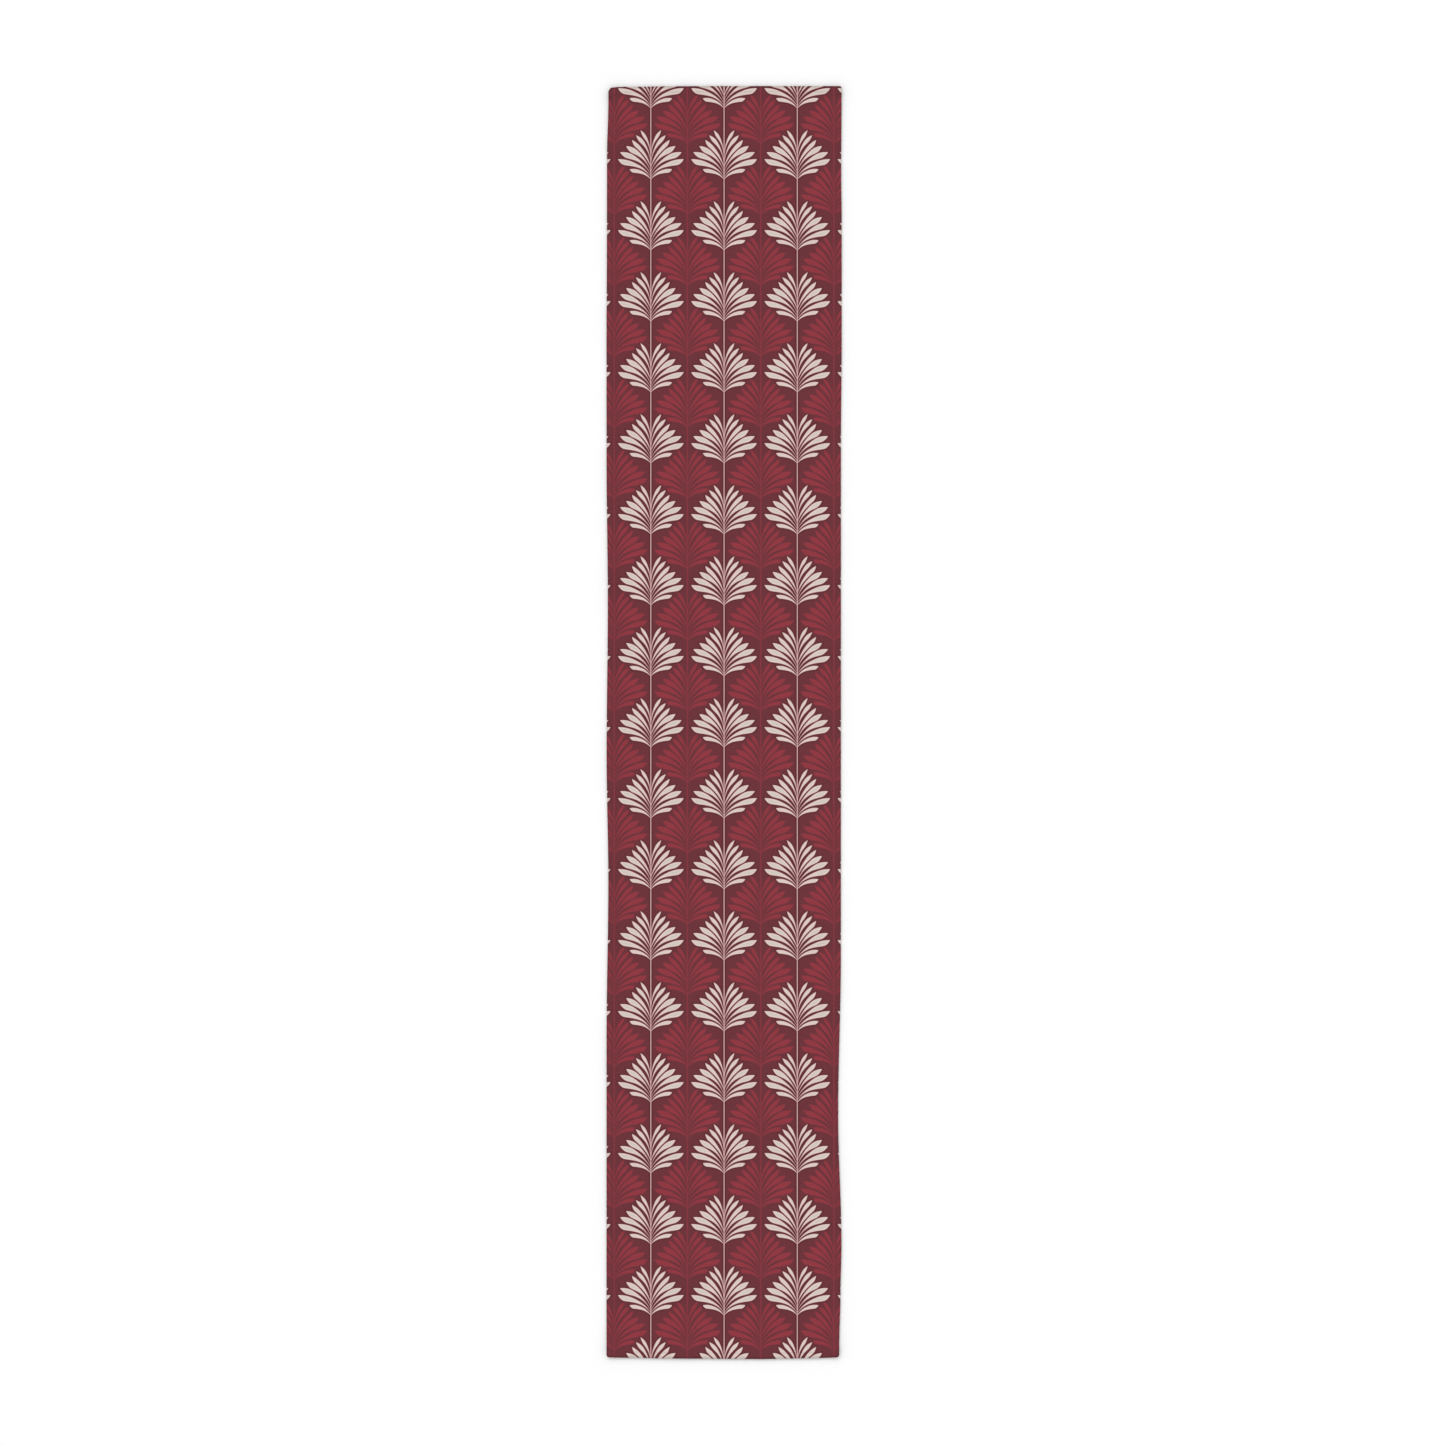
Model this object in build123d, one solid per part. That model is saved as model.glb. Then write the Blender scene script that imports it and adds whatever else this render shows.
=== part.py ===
from build123d import *
import os

# A table runner: one long printed cloth, hemmed on its four sides.
# Millimetres. +Z is up and the printed face looks up. The runner lies flat,
# its length along Y (head at +Y, foot at -Y) and its width along X. The
# origin is the middle of its underside, on the surface it lies on.
#
# Each hem is the edge of the cloth turned under twice. The side hems are
# sewn first. The head and foot hems are turned over their ends, so they run
# the whole width. Each hem is held by one row of lockstitch: a needle thread
# on the printed face and a bobbin thread on the underside.

# Driving dimensions
RUNNER_LENGTH = 2286.0        # finished length, 90 in
RUNNER_WIDTH = 422.0          # finished width
CLOTH = 0.45                  # thickness of one ply
HEM_WIDTH = 12.0              # finished width of a hem
HEM_SLOPE = 4.0               # run over which the cloth comes down off a hem
SEAM_INSET = 10.2             # from the runner's edge to the row of stitches
THREAD = 0.3                  # width of a thread
THREAD_SUNK = 0.2             # depth that a thread is pulled into the cloth
FOLD_ROUNDNESS = 0.98         # a folded edge's roundness, 1 for a full half-round
CORNER_RADIUS = {             # how far each sewn corner rounds off
    ("head", "left"): 8.0,
    ("head", "right"): 3.0,
    ("foot", "left"): 5.0,
    ("foot", "right"): 5.0,
}

# Worked out from them
HEM_STACK = 3 * CLOTH                     # the cloth and its two turned plies
TURNED = 2 * CLOTH                        # the two turned plies alone
FOLD_RADIUS = FOLD_ROUNDNESS * HEM_STACK / 2
SIDE_X = {"left": -RUNNER_WIDTH / 2, "right": RUNNER_WIDTH / 2}
END_Y = {"head": RUNNER_LENGTH / 2, "foot": -RUNNER_LENGTH / 2}
SIDE_HEM_LENGTH = RUNNER_LENGTH - 2 * HEM_WIDTH
FLAT = (Align.CENTER, Align.CENTER, Align.MIN)


def slab(width, length, bottom, top, x=0.0, y=0.0):
    """A flat box between two heights, centred on x and y."""
    return Pos(x, y, bottom) * Box(width, length, top - bottom, align=FLAT)


def sloped_block(inset_bottom, bottom, inset_top, top):
    """A block inside the runner's outline whose four sides slope."""
    low = Plane.XY.offset(bottom) * Rectangle(
        RUNNER_WIDTH - 2 * inset_bottom, RUNNER_LENGTH - 2 * inset_bottom)
    high = Plane.XY.offset(top) * Rectangle(
        RUNNER_WIDTH - 2 * inset_top, RUNNER_LENGTH - 2 * inset_top)
    return loft([low, high])


def outer_form():
    """The runner's whole outline: rounded corners and round folded edges."""
    form = slab(RUNNER_WIDTH, RUNNER_LENGTH, 0, HEM_STACK)
    for (end, side), radius in CORNER_RADIUS.items():
        corner = form.edges().filter_by(Axis.Z).sort_by_distance(
            (SIDE_X[side], END_Y[end], HEM_STACK / 2))[0]
        form = fillet(corner, radius)
    rims = form.faces().filter_by(Plane.XY).edges()
    return fillet(rims, FOLD_RADIUS)


def inward(edge):
    """+1 for an edge on the negative side of its axis, -1 for one opposite."""
    return 1.0 if edge < 0 else -1.0


def side_thread(side, bottom, top, length):
    """One thread of a side hem's row of stitches."""
    x = SIDE_X[side] + inward(SIDE_X[side]) * SEAM_INSET
    return slab(THREAD, length, bottom, top, x=x)


def end_thread(end, bottom, top):
    """One thread of the head or foot hem's row, across the whole width."""
    y = END_Y[end] + inward(END_Y[end]) * SEAM_INSET
    return slab(RUNNER_WIDTH - 2 * HEM_STACK, THREAD, bottom, top, y=y)


def needle_threads():
    """The four rows as they show on the printed face."""
    bottom = HEM_STACK - THREAD_SUNK
    between_rows = RUNNER_LENGTH - 2 * SEAM_INSET - THREAD
    threads = {}
    for side in SIDE_X:
        threads[side] = side_thread(side, bottom, HEM_STACK, between_rows)
    for end in END_Y:
        threads[end] = end_thread(end, bottom, HEM_STACK)
    return threads


def bobbin_threads():
    """The four rows as they show on the underside."""
    threads = {}
    for side in SIDE_X:
        threads[side] = side_thread(side, 0, THREAD_SUNK, SIDE_HEM_LENGTH)
    for end in END_Y:
        threads[end] = end_thread(end, 0, THREAD_SUNK)
    return threads


def runner_cloth(form, threads):
    """The printed cloth: its field on the table, its border over the hems."""
    table_side = sloped_block(HEM_WIDTH + HEM_SLOPE, 0, HEM_WIDTH, TURNED)
    under_border = slab(RUNNER_WIDTH, RUNNER_LENGTH, 0, TURNED) - table_side
    above_field = sloped_block(HEM_WIDTH + HEM_SLOPE, CLOTH, HEM_WIDTH, HEM_STACK)
    cloth = form - under_border - above_field
    for thread in threads.values():
        cloth = cloth - thread
    return cloth


def side_hem(form, side, thread):
    """The two turned plies along one side, between the end hems."""
    x = SIDE_X[side] + inward(SIDE_X[side]) * HEM_WIDTH / 2
    plies = slab(HEM_WIDTH, SIDE_HEM_LENGTH, 0, TURNED, x=x)
    return (form & plies) - thread


def end_hem(form, end, thread):
    """The two turned plies across the head or the foot."""
    y = END_Y[end] + inward(END_Y[end]) * HEM_WIDTH / 2
    plies = slab(RUNNER_WIDTH, HEM_WIDTH, 0, TURNED, y=y)
    return (form & plies) - thread


def main():
    form = outer_form()
    needle = needle_threads()
    bobbin = bobbin_threads()
    nodes = {"runner_cloth": runner_cloth(form, needle)}
    for side in SIDE_X:
        nodes[f"{side}_hem"] = side_hem(form, side, bobbin[side])
    for end in END_Y:
        nodes[f"{end}_hem"] = end_hem(form, end, bobbin[end])
    for place, thread in needle.items():
        nodes[f"{place}_needle_thread"] = thread
    for place, thread in bobbin.items():
        nodes[f"{place}_bobbin_thread"] = thread
    os.makedirs("parts", exist_ok=True)
    for name, solid in nodes.items():
        export_step(solid, f"parts/{name}.step")


main()
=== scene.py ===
import math
import random

import bmesh
import bpy
from bpy.props import FloatProperty, FloatVectorProperty, PointerProperty
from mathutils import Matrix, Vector


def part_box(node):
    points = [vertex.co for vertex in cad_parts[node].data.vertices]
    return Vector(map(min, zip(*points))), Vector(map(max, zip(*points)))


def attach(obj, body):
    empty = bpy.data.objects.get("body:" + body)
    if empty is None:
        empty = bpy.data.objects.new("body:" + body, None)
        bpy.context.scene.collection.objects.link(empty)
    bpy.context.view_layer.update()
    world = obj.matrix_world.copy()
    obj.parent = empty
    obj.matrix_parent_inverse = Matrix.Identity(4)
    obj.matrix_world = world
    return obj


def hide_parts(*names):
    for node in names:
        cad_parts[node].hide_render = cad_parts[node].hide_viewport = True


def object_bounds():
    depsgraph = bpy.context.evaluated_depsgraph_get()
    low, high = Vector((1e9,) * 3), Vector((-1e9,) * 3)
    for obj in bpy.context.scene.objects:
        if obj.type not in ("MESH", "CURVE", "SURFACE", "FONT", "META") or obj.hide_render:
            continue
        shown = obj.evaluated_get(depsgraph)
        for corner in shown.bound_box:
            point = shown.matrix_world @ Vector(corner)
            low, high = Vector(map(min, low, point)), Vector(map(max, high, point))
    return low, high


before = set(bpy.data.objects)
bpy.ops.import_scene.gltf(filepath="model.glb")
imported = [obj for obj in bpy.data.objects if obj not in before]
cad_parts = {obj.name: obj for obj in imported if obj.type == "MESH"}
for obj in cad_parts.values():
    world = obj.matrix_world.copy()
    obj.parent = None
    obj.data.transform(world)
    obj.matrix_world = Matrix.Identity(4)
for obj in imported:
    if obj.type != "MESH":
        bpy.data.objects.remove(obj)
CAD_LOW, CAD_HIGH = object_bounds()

bl_info = {
    "name": "Table Runner",
    "version": (1, 0, 0),
    "blender": (4, 5, 0),
    "location": "View3D > Sidebar > Runner",
    "description": "Sews a hemmed, printed table runner and lays it out on a pale floor",
    "category": "Object",
}

# ---------------------------------------------------------------- sizes

MM = 0.001
HALF_WIDTH = CAD_HIGH.x
HALF_LENGTH = CAD_HIGH.y
SIDES = {"left": -1, "right": 1}
ENDS = {"foot": -1, "head": 1}


def middle(node):
    """The middle of a CAD node's box."""
    low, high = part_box(node)
    return (low + high) / 2


def hem_width_in_frame():
    low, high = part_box("head_hem")
    return high.y - low.y


# How far sewing has drawn each edge in, in millimetres, at stations along it in metres.
DRAWN_IN = {
    "left": (
        (-1.143, 0.1), (-0.58, 0.2), (-0.29, 3.4), (-0.06, 0.3), (0.22, 2.5),
        (0.48, 0.2), (0.70, 0.1), (0.88, 0.8), (1.04, 1.0), (1.143, 3.4)),
    "right": (
        (-1.143, 4.4), (-1.05, 2.2), (-0.96, 0.4), (-0.72, 6.4), (-0.43, 1.5), (0.50, 1.4),
        (0.70, 0.0), (0.92, 0.0), (1.0, 0.9), (1.143, 0.2)),
    "head": ((-0.211, 2.9), (-0.176, 1.4), (-0.08, 0.5), (0.0, 0.2), (0.211, 0.2)),
    "foot": ((-0.211, 2.8), (-0.18, 2.4), (-0.09, 0.9), (0.06, 0.0), (0.14, 1.1), (0.211, 2.9)),
}
CORNER_ROUND = {
    ("head", "left"): 8 * MM,
    ("head", "right"): 3 * MM,
    ("foot", "left"): 5 * MM,
    ("foot", "right"): 5 * MM,
}
# How far the edges and corners stand off the table, and over what distance it dies away.
SIDE_CURL = (2.0 * MM, 26 * MM)
END_CURL = (4.2 * MM, 38 * MM)
CORNER_SAG = (1.6 * MM, 17 * MM)
CORNER_CURL = {
    ("head", "left"): (0.5 * MM, 45 * MM),
    ("foot", "right"): (0.3 * MM, 55 * MM),
}
# Long low waves in the laid cloth: share of the whole, waves per metre along X and Y, phase.
LAID_WAVES = (
    (0.45, 0.4, 1.1, 0.6),
    (0.30, -1.0, 2.0, 2.1),
    (0.25, 1.5, 3.7, 4.4),
)

# One side of a fan, from the top leaf to the lowest, in millimetres from the foot of the
# fan: height of its root on the stem, its tip across and up, the bow of its upper edge,
# where along the leaf that bow is highest, the width of its blade, and how late the leaf
# swells from its neck to its blade. Below: the neck's width, where a leaf is widest and
# where its tip starts, as shares of its length, and how round the turn between them is.
LEAVES = (
    (39, 18.9, 87.9, 6.4, 0.64, 6.1, 2.5),
    (30, 27.2, 78.8, 7.7, 0.64, 7.4, 2.1),
    (22, 34.0, 70.4, 6.0, 0.56, 7.8, 1.2),
    (14, 44.6, 59.3, 9.2, 0.62, 10.4, 2.1),
    (9, 55.6, 48.1, 10.0, 0.60, 10.9, 2.0),
    (4, 59.3, 35.8, 8.6, 0.46, 10.8, 1.5),
    (0, 38.4, 17.6, 6.4, 0.49, 7.9, 1.0),
)
LEAF_NECK = 0.8
WIDEST = 0.72
START_OF_TIP = 0.76
ROUNDED = 0.3
PRINT_SHRINK = 0.15 * MM
# The dark line round a cream leaf, how soft the red fans' edges are, and the pale rim
# inside a cream leaf.
KEYLINE = 3.6 * MM
KEYLINE_TONE = 0.8
SOFT_RED = 0.7 * MM
RIM = 2.7 * MM
# How far a print edge steps in and out with the yarns, and how sharp it is on each face.
YARN_STEP = 0.22 * MM
PRINT_SPREAD = 0.12 * MM
GHOST_SPREAD = 0.9 * MM
GHOST_STRENGTH = 0.24
# Painted shade where the cloth turns over a folded edge, which is darker there: from, to, and the tone
# there.
SIDE_FOLD_SHADE = (1 * MM, 4 * MM, 0.9)
END_FOLD_SHADE = (2 * MM, 5 * MM, 0.8)
WEAVE_RELIEF = 0.12 * MM
THREAD_TWIST = 0.5 * MM
THREAD_RELIEF = 0.04 * MM
# The stage: a floor, an even room and one large soft light, and a camera straight overhead.
FLOOR_SIDE = 14.0
ROOM_LIGHT = 0.82
SOFTBOX_LIGHT = 0.80
SOFTBOX_SPREAD = math.radians(50)
SOFTBOX_TILT = (math.radians(-24), math.radians(-14), 0)
CAMERA_PLACE = (-2.8 * MM, 0, 4)
CAMERA_WIDTH = 2.595


class RunnerClothSizes(bpy.types.PropertyGroup):
    ply: FloatProperty(
        name="Cloth", description="Thickness of the cloth",
        default=0.42 * MM, unit="LENGTH", precision=5)
    ply_step: FloatProperty(
        name="Ply to ply", description="Distance from the middle of one folded ply to the next",
        default=0.5 * MM, unit="LENGTH", precision=5)
    hem_width: FloatProperty(
        name="Hem", description="Finished width of each hem",
        default=hem_width_in_frame(), unit="LENGTH", precision=4)
    hem_slope: FloatProperty(
        name="Slope", description="Run over which the cloth comes down from a hem to the table",
        default=6 * MM, unit="LENGTH", precision=4)
    raw_edge: FloatProperty(
        name="Raw edge", description="Distance from the runner's edge to the tucked-in cut edge",
        default=1.6 * MM, unit="LENGTH", precision=4)
    lift: FloatProperty(
        name="Lift", description="Height of the long low waves in the laid cloth",
        default=1.1 * MM, unit="LENGTH", precision=4)
    edge_ripple: FloatProperty(
        name="Edge ripple", description="Height of the ripple along the sewn edges",
        default=0.5 * MM, unit="LENGTH", precision=4)
    pucker: FloatProperty(
        name="Pucker", description="Height of the small puckers along a row of stitches",
        default=0.14 * MM, unit="LENGTH", precision=5)
    seam_dip: FloatProperty(
        name="Seam dip", description="How far a row of stitches pulls the cloth in",
        default=0.08 * MM, unit="LENGTH", precision=5)


class RunnerStitchSizes(bpy.types.PropertyGroup):
    inset: FloatProperty(
        name="Row", description="Distance from the runner's edge to the row of stitches",
        default=CAD_HIGH.x - middle("right_needle_thread").x, unit="LENGTH", precision=4)
    pitch: FloatProperty(
        name="Pitch", description="Distance from one stitch to the next",
        default=3.0 * MM, unit="LENGTH", precision=4)
    length: FloatProperty(
        name="Stitch", description="Length of thread that shows in one stitch",
        default=2.6 * MM, unit="LENGTH", precision=4)
    thread: FloatProperty(
        name="Thread", description="Thickness of the sewing thread",
        default=0.3 * MM, unit="LENGTH", precision=5)
    end_gap: FloatProperty(
        name="End gap", description="Distance from the end of a row to the runner's edge",
        default=2.5 * MM, unit="LENGTH", precision=4)


class RunnerPrintSizes(bpy.types.PropertyGroup):
    across: FloatProperty(
        name="Across", description="Distance between stems of one colour",
        default=131.5 * MM, unit="LENGTH", precision=4)
    along: FloatProperty(
        name="Along", description="Distance from one fan to the next on its stem",
        default=127.5 * MM, unit="LENGTH", precision=4)
    first_fan: FloatProperty(
        name="First fan", description="Foot of a cream fan, from the middle of the runner",
        default=83.6 * MM, unit="LENGTH", precision=4)
    stem: FloatProperty(
        name="Stem", description="Width of a stem",
        default=1.8 * MM, unit="LENGTH", precision=4)
    yarn: FloatProperty(
        name="Yarn", description="Distance from one yarn of the twill to the next",
        default=0.45 * MM, unit="LENGTH", precision=5)


class RunnerColours(bpy.types.PropertyGroup):
    ground: FloatVectorProperty(
        name="Ground", description="Plum ground of the print",
        subtype="COLOR", default=(0.154, 0.0319, 0.0411))
    red: FloatVectorProperty(
        name="Red fans", description="Red fans and stems behind the cream ones",
        subtype="COLOR", default=(0.287, 0.0370, 0.0527))
    cream: FloatVectorProperty(
        name="Cream fans", description="Cream fans",
        subtype="COLOR", default=(0.645, 0.590, 0.525))
    rim: FloatVectorProperty(
        name="Cream rim", description="Paler rim of the cream leaves",
        subtype="COLOR", default=(0.758, 0.633, 0.586))
    edge: FloatVectorProperty(
        name="Cream edge", description="Pink edge of the cream leaves, and their stems",
        subtype="COLOR", default=(0.720, 0.440, 0.430))
    reverse: FloatVectorProperty(
        name="Reverse", description="Unprinted reverse of the cloth",
        subtype="COLOR", default=(0.66, 0.60, 0.53))
    thread: FloatVectorProperty(
        name="Thread", description="Sewing thread",
        subtype="COLOR", default=(0.120, 0.026, 0.034))
    floor: FloatVectorProperty(
        name="Floor", description="Pale floor",
        subtype="COLOR", default=(0.96, 0.96, 0.96))


# ---------------------------------------------------------------- node helpers

class NodePad:
    """Lays down shader nodes in one tree and wires them."""

    def __init__(self, tree):
        self.tree = tree

    def node(self, kind, **settings):
        made = self.tree.nodes.new(kind)
        for name, value in settings.items():
            setattr(made, name, value)
        return made

    def feed(self, socket, value):
        if isinstance(value, bpy.types.NodeSocket):
            self.tree.links.new(value, socket)
        else:
            socket.default_value = value

    def math(self, operation, *values):
        made = self.node("ShaderNodeMath", operation=operation)
        for socket, value in zip(made.inputs, values):
            self.feed(socket, value)
        return made.outputs[0]

    def dot(self, vector, fixed):
        made = self.node("ShaderNodeVectorMath", operation="DOT_PRODUCT")
        self.feed(made.inputs[0], vector)
        self.feed(made.inputs[1], fixed)
        return made.outputs["Value"]

    def ramp(self, value, low, high, to_low=0.0, to_high=1.0):
        made = self.node("ShaderNodeMapRange", clamp=True)
        for socket, number in zip(made.inputs, (value, low, high, to_low, to_high)):
            self.feed(socket, number)
        return made.outputs[0]

    def blend(self, share, first, second):
        made = self.node("ShaderNodeMix", data_type="RGBA")
        self.feed(made.inputs["Factor"], share)
        self.feed(made.inputs["A"], first)
        self.feed(made.inputs["B"], second)
        return made.outputs["Result"]

    def noise(self, vector, scale, detail=2.0):
        made = self.node("ShaderNodeTexNoise")
        self.feed(made.inputs["Vector"], vector)
        self.feed(made.inputs["Scale"], scale)
        self.feed(made.inputs["Detail"], detail)
        return made.outputs["Fac"]

    def scaled(self, colour, share):
        made = self.node("ShaderNodeVectorMath", operation="SCALE")
        self.feed(made.inputs[0], colour)
        self.feed(made.inputs["Scale"], share)
        return made.outputs[0]

    def stretched(self, vector, scale):
        made = self.node("ShaderNodeMapping")
        self.feed(made.inputs["Vector"], vector)
        self.feed(made.inputs["Scale"], scale)
        return made.outputs["Vector"]


def rgba(colour):
    return (*colour, 1.0)


def new_material(name):
    material = bpy.data.materials.new(name)
    material.use_nodes = True
    material.node_tree.nodes.clear()
    return material, NodePad(material.node_tree)


def new_group(name, inputs, outputs):
    """An empty node group. inputs and outputs are lists of (name, socket kind)."""
    tree = bpy.data.node_groups.new(name, "ShaderNodeTree")
    for label, kind in inputs:
        tree.interface.new_socket(name=label, in_out="INPUT", socket_type=kind)
    for label, kind in outputs:
        tree.interface.new_socket(name=label, in_out="OUTPUT", socket_type=kind)
    pad = NodePad(tree)
    return tree, pad, pad.node("NodeGroupInput"), pad.node("NodeGroupOutput")


# ---------------------------------------------------------------- print and weave

def leaf_depth(pad, place, leaf):
    """How far inside one leaf a point is, in metres, and negative outside it."""
    root, tip_across, tip_up, bow, crown, width, swell = leaf
    root, tip_across, tip_up, bow, width = (
        size * MM for size in (root, tip_across, tip_up, bow, width))
    neck = LEAF_NECK * MM
    length = math.hypot(tip_across, tip_up - root)
    along = Vector((tip_across, tip_up - root, 0)) / length
    across = Vector((-along.y, along.x, 0))
    share = pad.dot(place, along / length)
    share = pad.math("SUBTRACT", share, root * along.y / length)
    height = pad.math("SUBTRACT", pad.dot(place, across), root * across.y)

    before = pad.math("POWER", pad.ramp(share, 0, crown, 1, 0), 2.0)
    after = pad.math("POWER", pad.ramp(share, crown, 1, 0, 1), 2.5)
    fall = pad.math("ADD", before, after)
    upper_edge = pad.math("MULTIPLY", pad.math("SUBTRACT", 1.0, fall), bow)

    out_from_root = pad.math("MAXIMUM", pad.math("DIVIDE", share, WIDEST), 0.0)
    grown = pad.math("POWER", out_from_root, swell)
    opening = pad.math("MULTIPLY_ADD", grown, width - neck, neck)
    closed = pad.math("POWER", pad.ramp(share, START_OF_TIP, 1), 2.0)
    closing = pad.math("MULTIPLY", pad.math("SUBTRACT", 1.0, closed), width)
    blade = pad.math("SMOOTH_MIN", opening, closing, ROUNDED * width)
    lower_edge = pad.math("SUBTRACT", upper_edge, blade)

    below_top = pad.math("SUBTRACT", upper_edge, height)
    above_bottom = pad.math("SUBTRACT", height, lower_edge)
    past_root = pad.math("MULTIPLY", share, length)
    before_tip = pad.math("MULTIPLY", pad.math("SUBTRACT", 1.0, share), length)
    inside = pad.math("MINIMUM", below_top, above_bottom)
    inside = pad.math("MINIMUM", inside, past_root)
    beside = pad.math("MINIMUM", inside, 0.0)
    beyond = pad.math("MINIMUM", before_tip, 0.0)
    squares = pad.math("MULTIPLY_ADD", beyond, beyond, pad.math("MULTIPLY", beside, beside))
    inside = pad.math("MAXIMUM", pad.math("MINIMUM", inside, before_tip), 0.0)
    return pad.math("SUBTRACT", inside, pad.math("SQRT", squares))


def fan_group(sizes):
    """Repeating fans on their stems: how far inside the motif a point of the cloth is."""
    tree, pad, given, result = new_group(
        "fans_on_stems",
        [("Place", "NodeSocketVector"), ("Across", "NodeSocketFloat"), ("Along", "NodeSocketFloat")],
        [("Depth", "NodeSocketFloat")])
    below_foot = 10 * MM
    split = pad.node("ShaderNodeSeparateXYZ")
    pad.feed(split.inputs[0], given.outputs["Place"])
    across = pad.math("SUBTRACT", split.outputs["X"], given.outputs["Across"])
    across = pad.math("FLOORED_MODULO", pad.math("ADD", across, sizes.across / 2), sizes.across)
    across = pad.math("ABSOLUTE", pad.math("SUBTRACT", across, sizes.across / 2))
    along = pad.math("SUBTRACT", split.outputs["Y"], given.outputs["Along"])
    along = pad.math("FLOORED_MODULO", pad.math("ADD", along, below_foot), sizes.along)
    along = pad.math("SUBTRACT", along, below_foot)
    join = pad.node("ShaderNodeCombineXYZ")
    pad.feed(join.inputs["X"], across)
    pad.feed(join.inputs["Y"], along)
    depth = pad.math("SUBTRACT", sizes.stem / 2, across)
    for leaf in LEAVES:
        depth = pad.math("MAXIMUM", depth, leaf_depth(pad, join.outputs[0], leaf))
    pad.feed(result.inputs["Depth"], depth)
    return tree


def twill_group(sizes):
    """Two-over-one twill: the height of the yarns, 0 to 1, and a slow slub along them."""
    tree, pad, given, result = new_group(
        "cotton_twill",
        [("Place", "NodeSocketVector")],
        [("Height", "NodeSocketFloat"), ("Slub", "NodeSocketFloat")])
    split = pad.node("ShaderNodeSeparateXYZ")
    pad.feed(split.inputs[0], given.outputs["Place"])
    warp = pad.math("DIVIDE", split.outputs["X"], sizes.yarn)
    weft = pad.math("DIVIDE", split.outputs["Y"], sizes.yarn)
    crossing = pad.math("ADD", pad.math("FLOOR", warp), pad.math("FLOOR", weft))
    weft_up = pad.math("LESS_THAN", pad.math("FLOORED_MODULO", crossing, 3.0), 0.5)
    warp_round = pad.math("SINE", pad.math("MULTIPLY", pad.math("FRACT", warp), math.pi))
    weft_round = pad.math("SINE", pad.math("MULTIPLY", pad.math("FRACT", weft), math.pi))
    lower_weft = pad.math("MULTIPLY", weft_round, 0.8)
    weft_part = pad.math("MULTIPLY", weft_up, lower_weft)
    warp_part = pad.math("MULTIPLY", pad.math("SUBTRACT", 1.0, weft_up), warp_round)
    pad.feed(result.inputs["Height"], pad.math("ADD", warp_part, weft_part))
    warp_slub = pad.noise(pad.stretched(given.outputs["Place"], (1500, 45, 1)), 1.0)
    weft_slub = pad.noise(pad.stretched(given.outputs["Place"], (45, 1500, 1)), 1.0)
    pad.feed(result.inputs["Slub"], pad.math("ADD", warp_slub, weft_slub))
    return tree


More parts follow.
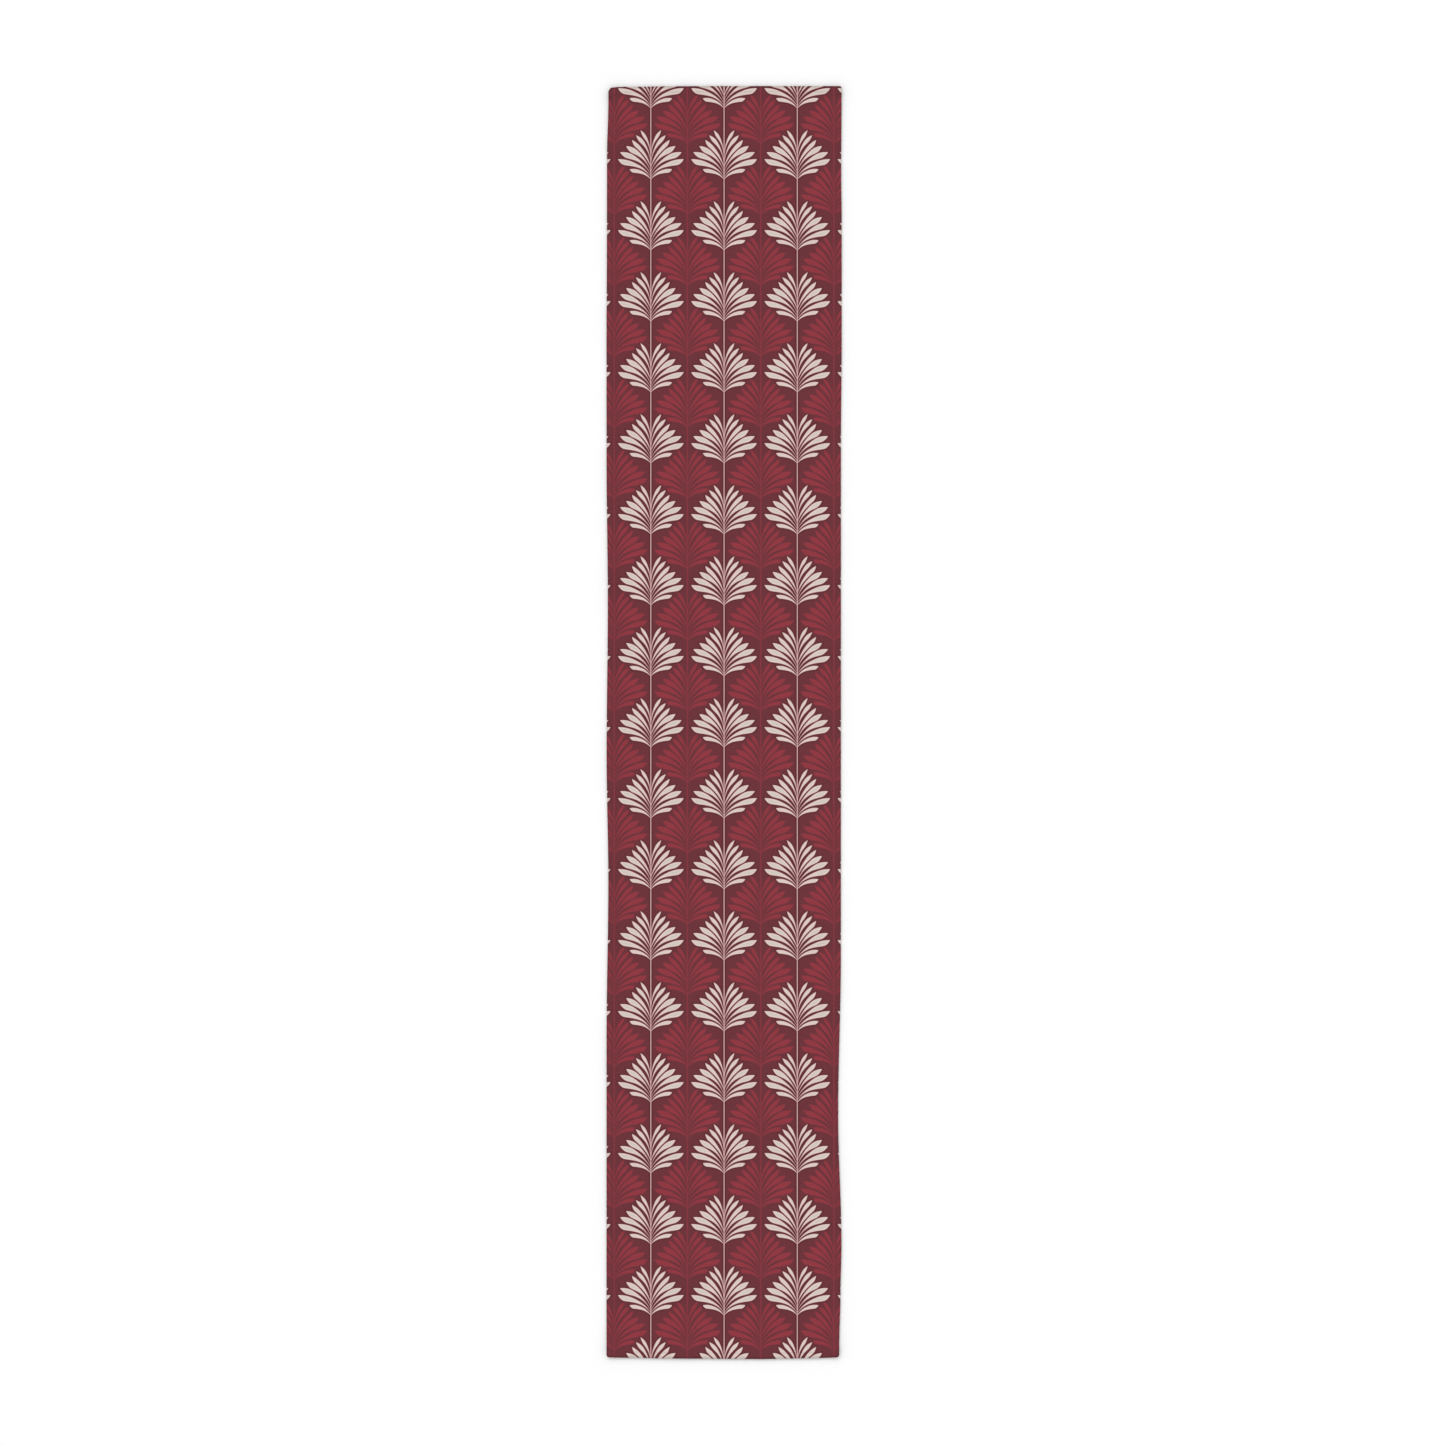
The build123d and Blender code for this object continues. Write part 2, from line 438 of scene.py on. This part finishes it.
class ClothPaint:
    """The nodes that the printed face and the reverse of the cloth share."""

    def __init__(self, pad, groups):
        self.pad = pad
        place = pad.node("ShaderNodeUVMap", uv_map=CLOTH_MAP).outputs["UV"]
        self.place = place
        weave = pad.node("ShaderNodeGroup", node_tree=groups["twill"])
        pad.feed(weave.inputs["Place"], place)
        self.height = weave.outputs["Height"]
        self.slub = weave.outputs["Slub"]
        self.fans = groups["fans"]

    def depth(self, across, along):
        """How far inside the fans a point is, with an edge that follows the yarns."""
        pad = self.pad
        fan = pad.node("ShaderNodeGroup", node_tree=self.fans)
        pad.feed(fan.inputs["Place"], self.place)
        pad.feed(fan.inputs["Across"], across)
        pad.feed(fan.inputs["Along"], along)
        yarn_edge = pad.math("MULTIPLY", pad.math("SUBTRACT", self.height, 0.6), YARN_STEP)
        depth = pad.math("ADD", fan.outputs["Depth"], yarn_edge)
        return pad.math("SUBTRACT", depth, PRINT_SHRINK)

    def print_colour(self, sizes, colours, spread):
        """Plum ground, red fans half a step over and up, cream fans on top.

        The plum and red deepen in a line round each cream leaf, and the cream is paler
        and pinker along its rim.
        """
        pad = self.pad
        red = self.depth(sizes.across / 2, sizes.first_fan + sizes.along / 2)
        cream = self.depth(0.0, sizes.first_fan)
        soft = spread + SOFT_RED
        colour = pad.blend(pad.ramp(red, -soft, soft), rgba(colours.ground), rgba(colours.red))
        colour = pad.scaled(colour, pad.ramp(cream, -KEYLINE, -0.75 * KEYLINE, 1.0, KEYLINE_TONE))
        leaf = pad.blend(pad.ramp(cream, 0.15 * RIM, 0.4 * RIM), rgba(colours.edge), rgba(colours.rim))
        leaf = pad.blend(pad.ramp(cream, 0.9 * RIM, 1.4 * RIM), leaf, rgba(colours.cream))
        return pad.blend(pad.ramp(cream, -spread, spread), colour, leaf)

    def shade_and_slubs(self, colour, depth):
        """Paints shade between the yarns and at the folded edges, and varies the tone slowly along the
        yarns.
        """
        pad = self.pad
        # Painted shade in the gaps between the yarns; depth is how dark it is.
        yarn = pad.ramp(self.height, 0.0, 1.0, 1.0 - depth, 1.0)
        slub = pad.ramp(self.slub, 0.75, 1.25, 0.965, 1.035)
        patch = pad.ramp(pad.noise(self.place, 9.0, 3.0), 0.3, 0.7, 0.985, 1.015)
        tone = pad.math("MULTIPLY", pad.math("MULTIPLY", yarn, slub), patch)
        # Painted shade: the colour is darker where the cloth turns over its folded sides and ends.
        split = pad.node("ShaderNodeSeparateXYZ")
        pad.feed(split.inputs[0], pad.node("ShaderNodeUVMap", uv_map=HEM_MAP).outputs["UV"])
        side_fold_shade = pad.ramp(split.outputs["X"], *SIDE_FOLD_SHADE, 1.0)
        end_fold_shade = pad.ramp(split.outputs["Y"], *END_FOLD_SHADE, 1.0)
        tone = pad.math("MULTIPLY", tone, pad.math("MULTIPLY", side_fold_shade, end_fold_shade))
        return pad.scaled(colour, tone)

    def finish(self, colour, roughness):
        """Matt cloth: the weave as relief, yarn tops less dull than the gaps, a trace of sheen."""
        pad = self.pad
        bump = pad.node("ShaderNodeBump")
        pad.feed(bump.inputs["Strength"], 0.55)
        pad.feed(bump.inputs["Distance"], WEAVE_RELIEF)
        slub_lift = pad.math("MULTIPLY", self.slub, 0.35)
        pad.feed(bump.inputs["Height"], pad.math("ADD", self.height, slub_lift))
        shader = pad.node("ShaderNodeBsdfPrincipled")
        pad.feed(shader.inputs["Base Color"], colour)
        dull = pad.ramp(self.height, 0, 1, roughness + 0.06, roughness - 0.06)
        pad.feed(shader.inputs["Roughness"], dull)
        shader.inputs["Specular IOR Level"].default_value = 0.15
        shader.inputs["Sheen Weight"].default_value = 0.04
        shader.inputs["Sheen Roughness"].default_value = 0.5
        pad.feed(shader.inputs["Normal"], bump.outputs["Normal"])
        output = pad.node("ShaderNodeOutputMaterial")
        pad.feed(output.inputs["Surface"], shader.outputs["BSDF"])


CLOTH_MAP = "cut_cloth"
HEM_MAP = "in_from_folds"
THREAD_MAP = "thread_run"


def printed_face_material(scene, groups):
    material, pad = new_material("printed_twill")
    paint = ClothPaint(pad, groups)
    colour = paint.print_colour(scene.runner_print, scene.runner_colours, PRINT_SPREAD)
    paint.finish(paint.shade_and_slubs(colour, 0.16), roughness=0.86)
    return material


def reverse_material(scene, groups):
    """The unprinted reverse, where the print shows through as a faint ghost."""
    material, pad = new_material("twill_reverse")
    paint = ClothPaint(pad, groups)
    colours = scene.runner_colours
    ghost = paint.print_colour(scene.runner_print, colours, GHOST_SPREAD)
    colour = pad.blend(GHOST_STRENGTH, rgba(colours.reverse), ghost)
    paint.finish(paint.shade_and_slubs(colour, 0.14), roughness=0.9)
    return material


def thread_material(scene):
    """Three-ply spun thread: the plies wind round it as slanting ridges, with painted shade in the
    grooves between them.
    """
    material, pad = new_material("sewing_thread")
    run = pad.node("ShaderNodeUVMap", uv_map=THREAD_MAP).outputs["UV"]
    split = pad.node("ShaderNodeSeparateXYZ")
    pad.feed(split.inputs[0], run)
    winding = pad.math("ADD", pad.math("DIVIDE", split.outputs["X"], THREAD_TWIST), split.outputs["Y"])
    ply = pad.math("SINE", pad.math("MULTIPLY", winding, 2 * math.pi))
    ply = pad.ramp(ply, -1, 1)
    # Painted shade: the grooves between the plies are darkened.
    tone = pad.ramp(ply, 0, 1, 0.62, 1.0)
    fibre = pad.ramp(pad.noise(pad.stretched(run, (2500, 6, 1)), 1.0), 0.3, 0.7, 0.9, 1.1)
    shade = pad.scaled(tuple(scene.runner_colours.thread), pad.math("MULTIPLY", tone, fibre))
    bump = pad.node("ShaderNodeBump")
    pad.feed(bump.inputs["Strength"], 0.6)
    pad.feed(bump.inputs["Distance"], THREAD_RELIEF)
    pad.feed(bump.inputs["Height"], ply)
    shader = pad.node("ShaderNodeBsdfPrincipled")
    pad.feed(shader.inputs["Base Color"], shade)
    pad.feed(shader.inputs["Roughness"], pad.ramp(ply, 0, 1, 0.7, 0.5))
    pad.feed(shader.inputs["Normal"], bump.outputs["Normal"])
    output = pad.node("ShaderNodeOutputMaterial")
    pad.feed(output.inputs["Surface"], shader.outputs["BSDF"])
    return material


# ---------------------------------------------------------------- the folded cloth

def bell(distance, spread):
    return math.exp(-0.5 * (distance / spread) ** 2)


def smooth(low, high, value):
    share = min(1.0, max(0.0, (value - low) / (high - low)))
    return share * share * (3 - 2 * share)


def drawn_in(edge, place):
    """How far an edge is drawn in at one place, in metres, eased between its stations."""
    stations = DRAWN_IN[edge]
    for (start, first), (end, last) in zip(stations, stations[1:]):
        if place < end:
            return (first + (last - first) * smooth(start, end, place)) * MM
    return stations[-1][1] * MM


class LaidCloth:
    """Where every point of the hemmed cloth lies.

    The cloth is cut as a rectangle. Its sides are folded first, then its ends over them,
    so a corner is nine plies thick. "inset" is the distance in from a finished edge.
    """

    def __init__(self, sizes, stitches):
        self.sizes = sizes
        self.step = sizes.ply_step
        self.low = sizes.ply / 2
        self.seam = stitches.inset
        self.clear_of_hem = sizes.hem_width + sizes.hem_slope

    # ---- the outline

    def side_edge(self, side, y):
        return HALF_WIDTH - drawn_in(side, y)

    def end_edge(self, end, x, side_inset, side):
        radius = CORNER_ROUND[end, side]
        short = max(0.0, radius - side_inset)
        rounding = radius - math.sqrt(radius ** 2 - short ** 2)
        return HALF_LENGTH - drawn_in(end, x) - rounding

    # ---- how high the cloth lies

    def on_hem(self, inset):
        """1 over a hem, 0 on the table, with a slope between."""
        return 1.0 - smooth(self.sizes.hem_width - 1 * MM, self.clear_of_hem, inset)

    def dip(self, inset):
        return self.sizes.seam_dip * bell(inset - self.seam, 0.5 * MM)

    def lift(self, x, y):
        """How far the laid cloth stands off the table."""
        waves = sum(
            share * math.sin(2 * math.pi * (per_x * x + per_y * y) + phase)
            for share, per_x, per_y, phase in LAID_WAVES)
        height = self.sizes.lift * 0.5 * (1 + waves)
        near_edge = bell(HALF_WIDTH - abs(x), 28 * MM)
        beat = math.sin(2 * math.pi * 1.3 * y + 1.0) * math.sin(2 * math.pi * 0.9 * y + x * 8)
        ripple = math.sin(2 * math.pi * 6.1 * y + 5 * x + 2.2 * beat)
        height += self.sizes.edge_ripple * near_edge * 0.5 * (1 + ripple)
        side_curl = SIDE_CURL[0] * bell(HALF_WIDTH - abs(x), SIDE_CURL[1])
        end_curl = END_CURL[0] * bell(HALF_LENGTH - abs(y), END_CURL[1])
        height += math.hypot(side_curl, end_curl)
        for (end, side), (curl, reach) in CORNER_CURL.items():
            away = math.hypot(x - SIDES[side] * HALF_WIDTH, y - ENDS[end] * HALF_LENGTH)
            height += curl * bell(away, reach)
        heavy = bell(HALF_WIDTH - abs(x), CORNER_SAG[1]) * bell(HALF_LENGTH - abs(y), CORNER_SAG[1])
        return height - CORNER_SAG[0] * heavy

    def puckers(self, inset, along):
        """Small puckers that a row of stitches draws up beside it."""
        beat = math.sin(along * 31 + 0.7) + 0.6 * math.sin(along * 83 + 2.0)
        wave = math.sin(2 * math.pi * along / (34 * MM) + 1.4 * beat)
        near = bell(inset - self.seam - 3 * MM, 5 * MM)
        return self.sizes.pucker * near * 0.5 * (1 + wave)

    def top_height(self, x, y):
        """Height of the printed face over a place in plan."""
        side = "left" if x < 0 else "right"
        end = "foot" if y < 0 else "head"
        side_inset = self.side_edge(side, y) - abs(x)
        end_inset = self.end_edge(end, x, side_inset, side) - abs(y)
        height = self.border_height(self.on_hem(side_inset), self.on_hem(end_inset))
        height += self.lift(x, y) + self.puckers(side_inset, y) + self.puckers(end_inset, x)
        return height - self.dip(side_inset) - self.dip(end_inset) + self.sizes.ply / 2

    def border_height(self, side_hem, end_hem):
        """Middle of the top ply over the plies turned under it."""
        plies = (1 + 2 * side_hem) * (1 + 2 * end_hem)
        return self.low + self.step * (plies - 1)

    # ---- one hem's section

    def hem_point(self, part, share, top, tucked, under):
        """Inset, height and length of cloth past the fold, in a section across a hem.

        top and tucked are the heights of the border ply and the tucked ply. under is how
        far this ply lies beneath the printed one in a stack that is folded together.
        """
        low = self.low
        outer = (top - low) / 2
        inner = (tucked - low) / 2
        turn = self.sizes.hem_width - inner
        if part == "border":
            return outer + share * (self.clear_of_hem - outer), top - under, None
        if part == "outer fold":
            angle = share * math.pi
            radius = outer - under
            inset = outer - radius * math.sin(angle)
            return inset, low + outer + radius * math.cos(angle), outer * angle
        if part == "turned":
            inset = outer + share * (turn - outer)
            return inset, low + under + self.dip(inset), math.pi * outer + inset - outer
        past = math.pi * outer + turn - outer
        if part == "inner fold":
            angle = share * math.pi
            radius = inner - under
            inset = turn + radius * math.sin(angle)
            return inset, low + inner - radius * math.cos(angle), past + inner * angle
        inset = turn + share * (self.sizes.raw_edge - turn)
        return inset, tucked - under, past + math.pi * inner + turn - inset


# A hem's section from the cut edge to the field: part, and places along it.
HEM_STATIONS = (
    ("tucked", (1.0, 0.66, 0.33, 0.12)),
    ("inner fold", (1.0, 0.8, 0.6, 0.4, 0.2, 0.0)),
    ("turned", (0.94, 0.89, 0.84, 0.79, 0.5, 0.25)),
    ("outer fold", (1.0, 0.86, 0.71, 0.57, 0.43, 0.29, 0.14, 0.0)),
    ("border", (0.03, 0.07, 0.12, 0.19, 0.28, 0.37, 0.46, 0.515, 0.55, 0.585)),
    ("border", (0.62, 0.66, 0.70, 0.74, 0.78, 0.82, 0.86, 0.905, 0.95, 1.0)),
)
FIELD_ACROSS = 36
FIELD_ALONG = 280


def hem_stations():
    """(part, share) from the cut edge inwards."""
    return [(part, share) for part, shares in HEM_STATIONS for share in shares]


def columns():
    """Every lengthwise line of the mesh: side, part and share, from left to right."""
    left = [("left", part, share) for part, share in hem_stations()]
    field = [(None, "field", index / FIELD_ACROSS) for index in range(1, FIELD_ACROSS)]
    right = [("right", part, share) for part, share in reversed(hem_stations())]
    return left + field + right


def rows():
    """Every crosswise line of the mesh: end, part and share, from foot to head."""
    foot = [("foot", part, share) for part, share in hem_stations()]
    field = [(None, "field", index / FIELD_ALONG) for index in range(1, FIELD_ALONG)]
    head = [("head", part, share) for part, share in reversed(hem_stations())]
    return foot + field + head


def across_cloth(cloth, column, y):
    """A column at one place along the runner.

    Returns x, the distance in from the side, which side, how much hem is under it, how
    far it lies beneath the printed ply, and its place across the cut cloth.
    """
    side, part, share = column
    if side is None:
        low = -cloth.side_edge("left", y) + cloth.clear_of_hem
        high = cloth.side_edge("right", y) - cloth.clear_of_hem
        x = low + share * (high - low)
        side = "left" if x < 0 else "right"
        return x, cloth.side_edge(side, y) - abs(x), side, 0.0, 0.0, x
    top = cloth.border_height(1, 0)
    tucked = cloth.low + cloth.step
    inset, height, past = cloth.hem_point(part, share, top, tucked, 0.0)
    edge = cloth.side_edge(side, y)
    x = SIDES[side] * (edge - inset)
    if part == "border":
        return x, inset, side, cloth.on_hem(inset), cloth.dip(inset), x
    cut = SIDES[side] * (edge - cloth.step + past)
    return x, inset, side, 1.0, top - height, cut


def cloth_point(cloth, column, row):
    """Where a point of the mesh lies, its place on the cut cloth, and how far in it is."""
    end, part, share = row
    y_guess = ENDS[end] * HALF_LENGTH if end else (2 * share - 1) * HALF_LENGTH
    x, side_inset, side, side_hem, under, cut_x = across_cloth(cloth, column, y_guess)
    edges = {name: cloth.end_edge(name, x, side_inset, side) for name in ENDS}
    if end is None:
        low = -edges["foot"] + cloth.clear_of_hem
        high = edges["head"] - cloth.clear_of_hem
        y = low + share * (high - low)
        z = cloth.border_height(side_hem, 0.0) - under
        cut_y = y
        end_inset = min(y + edges["foot"], edges["head"] - y)
    else:
        top = cloth.border_height(side_hem, 1.0)
        tucked = cloth.low + cloth.step * (1 + 4 * side_hem)
        end_inset, z, past = cloth.hem_point(part, share, top, tucked, under)
        y = ENDS[end] * (edges[end] - end_inset)
        cut_y = y
        if part == "border":
            z = cloth.border_height(side_hem, cloth.on_hem(end_inset)) - under - cloth.dip(end_inset)
        else:
            cut_y = ENDS[end] * (edges[end] - (top - cloth.low) / 2 + past)
    z += cloth.lift(x, y) + cloth.puckers(side_inset, y) + cloth.puckers(end_inset, x)
    return Vector((x, y, z)), (cut_x, cut_y), (side_inset, end_inset)


def cloth_mesh(cloth):
    """The cloth as one sheet of faces, with its own map of the cut cloth."""
    all_columns, all_rows = columns(), rows()
    laid = [cloth_point(cloth, column, row) for row in all_rows for column in all_columns]
    points, cuts, insets = zip(*laid)
    wide = len(all_columns)
    faces = []
    for row in range(len(all_rows) - 1):
        for column in range(wide - 1):
            corner = row * wide + column
            faces.append((corner, corner + 1, corner + wide + 1, corner + wide))
    mesh = bpy.data.meshes.new("runner_sheet")
    mesh.from_pydata(points, [], faces)
    for name, places in ((CLOTH_MAP, cuts), (HEM_MAP, insets)):
        layer = mesh.uv_layers.new(name=name)
        for loop in mesh.loops:
            layer.data[loop.index].uv = places[loop.vertex_index]
    mesh.shade_smooth()
    return mesh


def apply_modifiers(piece):
    bpy.context.view_layer.objects.active = piece
    for modifier in list(piece.modifiers):
        bpy.ops.object.modifier_apply(modifier=modifier.name)


def deselect_all():
    bpy.ops.object.select_all(action="DESELECT")


class RUNNER_OT_cloth(bpy.types.Operator):
    """Cuts the cloth, turns its four hems and lays it on the table"""

    bl_idname = "runner.cloth"
    bl_label = "Hemmed cloth"

    def execute(self, context):
        scene = context.scene
        deselect_all()
        cloth = LaidCloth(scene.runner_cloth, scene.runner_stitches)
        piece = bpy.data.objects.new("runner_sheet", cloth_mesh(cloth))
        scene.collection.objects.link(piece)
        groups = {"fans": fan_group(scene.runner_print), "twill": twill_group(scene.runner_print)}
        piece.data.materials.append(printed_face_material(scene, groups))
        piece.data.materials.append(reverse_material(scene, groups))
        wall = piece.modifiers.new("cloth_thickness", "SOLIDIFY")
        wall.thickness = scene.runner_cloth.ply
        wall.offset = 0.0
        wall.material_offset = 1
        wall.material_offset_rim = 1
        apply_modifiers(piece)
        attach(piece, "root")
        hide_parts("runner_cloth", "left_hem", "right_hem", "head_hem", "foot_hem")
        return {"FINISHED"}


# ---------------------------------------------------------------- the stitches

# A stitch from one needle hole to the next: share of its length, of the thread's
# thickness, and how deep it has sunk, in thicknesses.
STITCH_RINGS = (
    (0.0, 0.35, 1.15),
    (0.10, 0.8, 0.55),
    (0.28, 1.0, 0.08),
    (0.72, 1.0, 0.08),
    (0.90, 0.8, 0.55),
    (1.0, 0.35, 1.15),
)
STITCH_SIDES = 6
# How far a stitch slants and lies out of line, at most.
STITCH_SLANT = 0.035
STITCH_ASIDE = 0.05 * MM
# How far a needle thread stands out of the cloth, in half thicknesses, and how flat and
# how deep the bobbin thread lies under it.
NEEDLE_PROUD = 0.7
BOBBIN_FLAT = 0.55
BOBBIN_SUNK = 0.04 * MM
# Room left at each end of a row for edges that are drawn in.
ROW_MARGIN = 5 * MM


def one_stitch(sizes):
    """Models one stitch along +Y from the origin: a ring drawn out and bent down at each end."""
    deselect_all()
    share, sunk = STITCH_RINGS[0][1:]
    radius = sizes.thread / 2
    bpy.ops.mesh.primitive_circle_add(
        vertices=STITCH_SIDES, radius=radius * share, fill_type="NGON",
        location=(0, 0, -sunk * sizes.thread), rotation=(math.pi / 2, 0, 0))
    bpy.ops.object.mode_set(mode="EDIT")
    bpy.ops.mesh.select_all(action="SELECT")
    for (y, share, sunk), (next_y, next_share, next_sunk) in zip(STITCH_RINGS, STITCH_RINGS[1:]):
        move = (0, (next_y - y) * sizes.length, (sunk - next_sunk) * sizes.thread)
        bpy.ops.mesh.extrude_region_move(TRANSFORM_OT_translate={"value": move})
        grow = next_share / share
        bpy.ops.transform.resize(value=(grow, grow, grow))
    bpy.ops.mesh.select_all(action="SELECT")
    bpy.ops.mesh.normals_make_consistent(inside=False)
    bpy.ops.object.mode_set(mode="OBJECT")
    stitch = bpy.context.object
    bpy.ops.object.transform_apply(location=True, rotation=True, scale=True)
    return stitch


def map_thread(mesh):
    """Maps a row of stitches: how far along the thread, and how far round it."""
    layer = mesh.uv_layers.new(name=THREAD_MAP)
    for polygon in mesh.polygons:
        for loop_index in polygon.loop_indices:
            point = mesh.vertices[mesh.loops[loop_index].vertex_index].co
            turn = math.atan2(point.z, point.x) / (2 * math.pi)
            layer.data[loop_index].uv = (point.y, turn)


def stitch_row(name, sizes, count, dice):
    """A straight row of stitches along +Y, each a little out of line as sewing leaves them."""
    row = one_stitch(sizes)
    row.name = name
    row.data.name = name
    repeat = row.modifiers.new("row", "ARRAY")
    repeat.count = count
    repeat.use_relative_offset = False
    repeat.use_constant_offset = True
    repeat.constant_offset_displace = (0, sizes.pitch, 0)
    apply_modifiers(row)
    map_thread(row.data)
    each = len(row.data.vertices) // count
    for index in range(count):
        slant = dice.uniform(-STITCH_SLANT, STITCH_SLANT)
        aside = dice.uniform(-STITCH_ASIDE, STITCH_ASIDE)
        start = index * sizes.pitch
        for vertex in row.data.vertices[index * each:(index + 1) * each]:
            vertex.co.x += aside + slant * (vertex.co.y - start - sizes.length / 2)
    row.data.shade_smooth()
    return row


def face_out(piece):
    """Turns every face of a closed piece to the outside."""
    shape = bmesh.new()
    shape.from_mesh(piece.data)
    bmesh.ops.recalc_face_normals(shape, faces=shape.faces)
    shape.to_mesh(piece.data)
    shape.free()


class RowOnCloth:
    """Puts a stitch's own coordinates on one row of the runner."""

    def __init__(self, cloth, stitches, where, on_top):
        self.cloth = cloth
        self.stitches = stitches
        self.where = where
        self.on_top = on_top
        self.is_side = where in SIDES
        half = HALF_LENGTH if self.is_side else HALF_WIDTH
        gap = stitches.end_gap
        if self.is_side and not on_top:
            gap = cloth.sizes.hem_width
        self.start = -half + gap + ROW_MARGIN
        self.count = int(-2 * self.start / stitches.pitch)

    def plan(self, along, aside):
        """The place in plan of a point of the row."""
        run = self.start + along
        if self.is_side:
            edge = self.cloth.side_edge(self.where, run)
            return SIDES[self.where] * (edge - self.stitches.inset) + aside, run
        side = "left" if run < 0 else "right"
        side_inset = self.cloth.side_edge(side, ENDS[self.where] * HALF_LENGTH) - abs(run)
        edge = self.cloth.end_edge(self.where, run, side_inset, side)
        return run, ENDS[self.where] * (edge - self.stitches.inset) + aside

    def point(self, along, aside, up):
        x, y = self.plan(along, aside)
        radius = self.stitches.thread / 2
        if self.on_top:
            return x, y, self.cloth.top_height(x, y) + NEEDLE_PROUD * radius + up
        bed = self.cloth.lift(x, y) + self.cloth.sizes.seam_dip
        return x, y, bed + BOBBIN_FLAT * (radius - up) - BOBBIN_SUNK


class RUNNER_OT_stitches(bpy.types.Operator):
    """Sews the row of lockstitch along each hem: needle thread on top, bobbin thread below"""

    bl_idname = "runner.stitches"
    bl_label = "Rows of stitches"

    def execute(self, context):
        scene = context.scene
        stitches = scene.runner_stitches
        cloth = LaidCloth(scene.runner_cloth, stitches)
        material = thread_material(scene)
        dice = random.Random(11)
        for kind, on_top in (("needle", True), ("bobbin", False)):
            for where in (*SIDES, *ENDS):
                node = f"{where}_{kind}_thread"
                plan = RowOnCloth(cloth, stitches, where, on_top)
                row = stitch_row(f"{where}_{kind}_stitches", stitches, plan.count, dice)
                for vertex in row.data.vertices:
                    aside, along, up = vertex.co
                    vertex.co = plan.point(along, aside, up)
                face_out(row)
                row.data.materials.append(material)
                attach(row, "root")
                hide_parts(node)
        return {"FINISHED"}


class RUNNER_OT_lay_flat(bpy.types.Operator):
    """Does nothing: it records neither the size the cloth was cut to nor what is sewn on it"""

    bl_idname = "runner.lay_flat"
    bl_label = "Cut size"

    def execute(self, context):
        return {"FINISHED"}


# ---------------------------------------------------------------- the stage

def floor_material(scene):
    """Plain pale floor with a trace of mottling."""
    material, pad = new_material("pale_floor")
    place = pad.node("ShaderNodeTexCoord").outputs["Object"]
    tone = pad.ramp(pad.noise(place, 1.5), 0.3, 0.7, 0.997, 1.003)
    shader = pad.node("ShaderNodeBsdfPrincipled")
    pad.feed(shader.inputs["Base Color"], pad.scaled(tuple(scene.runner_colours.floor), tone))
    shader.inputs["Roughness"].default_value = 0.9
    shader.inputs["Specular IOR Level"].default_value = 0.1
    output = pad.node("ShaderNodeOutputMaterial")
    pad.feed(output.inputs["Surface"], shader.outputs["BSDF"])
    return material


class RUNNER_OT_stage(bpy.types.Operator):
    """Sets out the floor, the soft light and the camera overhead"""

    bl_idname = "runner.stage"
    bl_label = "Stage"

    def execute(self, context):
        scene = context.scene
        deselect_all()
        bpy.ops.mesh.primitive_plane_add(size=FLOOR_SIDE, location=(0, 0, 0))
        floor = context.object
        floor.name = "floor"
        floor.data.materials.append(floor_material(scene))

        world = bpy.data.worlds.new("soft_room")
        world.use_nodes = True
        backdrop = world.node_tree.nodes["Background"]
        backdrop.inputs["Color"].default_value = (1, 1, 1, 1)
        backdrop.inputs["Strength"].default_value = ROOM_LIGHT
        scene.world = world

        lamp = bpy.data.lights.new("overhead_softbox", "SUN")
        lamp.energy = SOFTBOX_LIGHT
        lamp.angle = SOFTBOX_SPREAD
        lamp_object = bpy.data.objects.new("overhead_softbox", lamp)
        lamp_object.rotation_euler = SOFTBOX_TILT
        scene.collection.objects.link(lamp_object)

        camera = bpy.data.cameras.new("overhead_camera")
        camera.type = "ORTHO"
        camera.ortho_scale = CAMERA_WIDTH
        camera.clip_end = 50.0
        camera_object = bpy.data.objects.new("overhead_camera", camera)
        camera_object.location = CAMERA_PLACE
        scene.collection.objects.link(camera_object)
        scene.camera = camera_object
        scene.view_settings.view_transform = "Standard"
        return {"FINISHED"}


class VIEW3D_PT_runner(bpy.types.Panel):
    bl_label = "Table Runner"
    bl_space_type = "VIEW_3D"
    bl_region_type = "UI"
    bl_category = "Runner"

    def draw(self, context):
        layout = self.layout
        for operator in OPERATORS:
            layout.operator(operator.bl_idname)
        for name, group in SETTINGS.items():
            box = layout.box()
            for setting in group.__annotations__:
                box.prop(getattr(context.scene, name), setting)


SETTINGS = {
    "runner_cloth": RunnerClothSizes,
    "runner_stitches": RunnerStitchSizes,
    "runner_print": RunnerPrintSizes,
    "runner_colours": RunnerColours,
}
OPERATORS = (RUNNER_OT_stage, RUNNER_OT_cloth, RUNNER_OT_stitches, RUNNER_OT_lay_flat)


def register():
    for name, group in SETTINGS.items():
        bpy.utils.register_class(group)
        setattr(bpy.types.Scene, name, PointerProperty(type=group))
    for shown in (*OPERATORS, VIEW3D_PT_runner):
        bpy.utils.register_class(shown)


def unregister():
    for shown in (*OPERATORS, VIEW3D_PT_runner):
        bpy.utils.unregister_class(shown)
    for name, group in SETTINGS.items():
        delattr(bpy.types.Scene, name)
        bpy.utils.unregister_class(group)


def main():
    register()
    bpy.ops.runner.stage()
    bpy.ops.runner.cloth()
    bpy.ops.runner.stitches()
    bpy.ops.runner.lay_flat()


if __name__ == "__main__":
    main()
